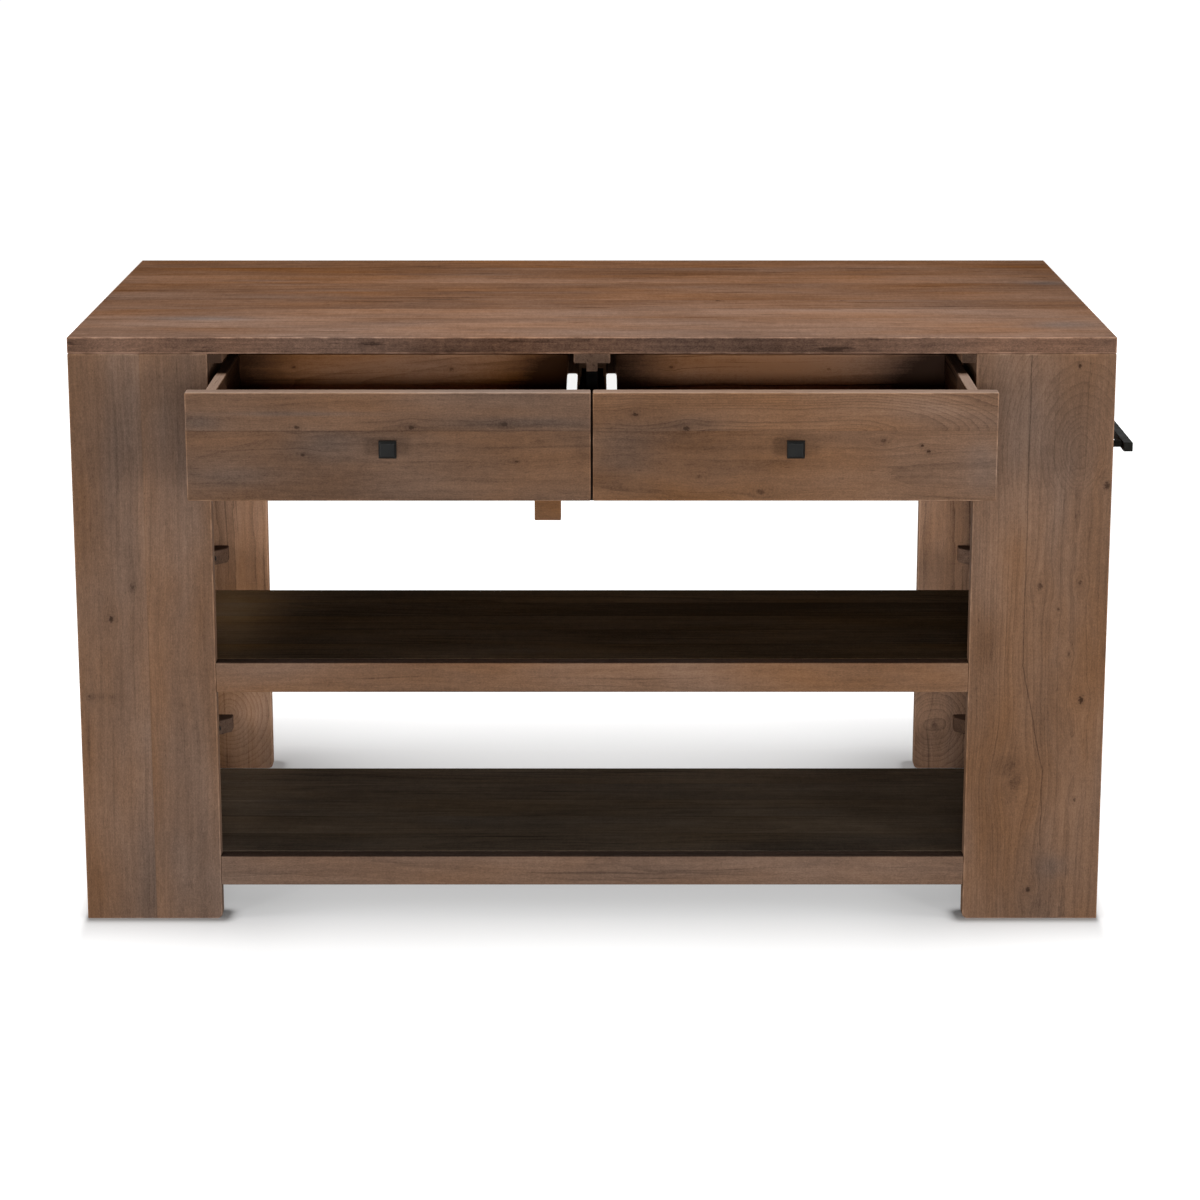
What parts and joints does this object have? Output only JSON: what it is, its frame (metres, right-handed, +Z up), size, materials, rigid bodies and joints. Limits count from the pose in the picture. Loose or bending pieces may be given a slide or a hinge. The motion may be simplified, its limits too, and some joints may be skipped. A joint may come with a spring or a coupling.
{
  "type": "kitchen island",
  "caption": "Stained wood kitchen island on plank legs, with open shelves, drawers on telescopic slides, a knee space at the back and a towel bar.",
  "frame": {"origin": "on the floor, in the middle of the whole footprint, with the drawers as far out as in the picture and the towel bar included", "axes": "+X to the end with the towel bar, +Y to the knee space at the back, +Z up"},
  "size_m": [1.618, 0.9673, 0.92],
  "materials": {
    "worktop_wood": "brown stain under a satin lacquer",
    "leg_wood": "brown stain under a satin lacquer",
    "shelf_wood": "brown stain under a satin lacquer",
    "drawer_front_wood": "brown stain under a satin lacquer",
    "drawer_box_wood": "light brown stain, matt",
    "black_paint": "matt black paint",
    "black_steel": "satin black",
    "slide_steel": "black zinc",
    "bolt_steel": "dark zinc"
  },
  "bodies": {
    "frame": {"worktop": "worktop_wood", "front_left_leg_plank": "leg_wood", "front_left_side_plank": "leg_wood", "front_right_leg_plank": "leg_wood", "front_right_side_plank": "leg_wood", "rear_left_leg_plank": "leg_wood", "rear_left_side_plank": "leg_wood", "rear_right_leg_plank": "leg_wood", "rear_right_side_plank": "leg_wood", "left_end_apron": "leg_wood", "right_end_apron": "leg_wood", "upper_left_stretcher": "leg_wood", "upper_left_corner_block": "leg_wood", "upper_left_bolt": "bolt_steel", "upper_right_stretcher": "leg_wood", "upper_right_corner_block": "leg_wood", "upper_right_bolt": "bolt_steel", "upper_shelf_panel": "shelf_wood", "upper_shelf_lip": "shelf_wood", "lower_left_stretcher": "leg_wood", "lower_left_corner_block": "leg_wood", "lower_left_bolt": "bolt_steel", "lower_right_stretcher": "leg_wood", "lower_right_corner_block": "leg_wood", "lower_right_bolt": "bolt_steel", "lower_shelf_panel": "shelf_wood", "lower_shelf_lip": "shelf_wood", "left_bay_panel": "drawer_box_wood", "left_cleat": "leg_wood", "right_bay_panel": "drawer_box_wood", "right_cleat": "leg_wood", "bay_back": "leg_wood", "centre_rail": "leg_wood", "divider": "black_paint", "left_drawer_outer_fixed_channel": "slide_steel", "left_drawer_inner_fixed_channel": "slide_steel", "right_drawer_outer_fixed_channel": "slide_steel", "right_drawer_inner_fixed_channel": "slide_steel", "towel_bar": "black_steel"},
    "left_drawer": {"left_drawer_front": "drawer_front_wood", "left_drawer_outer_side": "drawer_box_wood", "left_drawer_inner_side": "drawer_box_wood", "left_drawer_back": "drawer_box_wood", "left_drawer_floor": "drawer_box_wood", "left_drawer_knob": "black_steel", "left_drawer_outer_runner": "slide_steel", "left_drawer_inner_runner": "slide_steel", "left_drawer_stop_block": "drawer_front_wood"},
    "left_drawer_outer_middle": {"left_drawer_outer_middle_channel": "slide_steel"},
    "left_drawer_inner_middle": {"left_drawer_inner_middle_channel": "slide_steel"},
    "right_drawer": {"right_drawer_front": "drawer_front_wood", "right_drawer_outer_side": "drawer_box_wood", "right_drawer_inner_side": "drawer_box_wood", "right_drawer_back": "drawer_box_wood", "right_drawer_floor": "drawer_box_wood", "right_drawer_knob": "black_steel", "right_drawer_outer_runner": "slide_steel", "right_drawer_inner_runner": "slide_steel"},
    "right_drawer_outer_middle": {"right_drawer_outer_middle_channel": "slide_steel"},
    "right_drawer_inner_middle": {"right_drawer_inner_middle_channel": "slide_steel"}
  },
  "joints": [
    {"name": "left_drawer_slide", "type": "slide", "parent": "frame", "child": "left_drawer", "axis": [0, -1, 0], "range_m": [-0.127, 0.173]},
    {"name": "left_drawer_outer_middle_slide", "type": "slide", "parent": "frame", "child": "left_drawer_outer_middle", "axis": [0, -1, 0], "range_m": [-0.0635, 0.0865]},
    {"name": "left_drawer_inner_middle_slide", "type": "slide", "parent": "frame", "child": "left_drawer_inner_middle", "axis": [0, -1, 0], "range_m": [-0.0635, 0.0865]},
    {"name": "right_drawer_slide", "type": "slide", "parent": "frame", "child": "right_drawer", "axis": [0, -1, 0], "range_m": [-0.127, 0.173]},
    {"name": "right_drawer_outer_middle_slide", "type": "slide", "parent": "frame", "child": "right_drawer_outer_middle", "axis": [0, -1, 0], "range_m": [-0.0635, 0.0865]},
    {"name": "right_drawer_inner_middle_slide", "type": "slide", "parent": "frame", "child": "right_drawer_inner_middle", "axis": [0, -1, 0], "range_m": [-0.0635, 0.0865]}
  ],
  "couplings": [
    {"joint": "left_drawer_outer_middle_slide", "follows": "left_drawer_slide", "ratio": 0.5},
    {"joint": "left_drawer_inner_middle_slide", "follows": "left_drawer_slide", "ratio": 0.5},
    {"joint": "right_drawer_outer_middle_slide", "follows": "right_drawer_slide", "ratio": 0.5},
    {"joint": "right_drawer_inner_middle_slide", "follows": "right_drawer_slide", "ratio": 0.5}
  ]
}
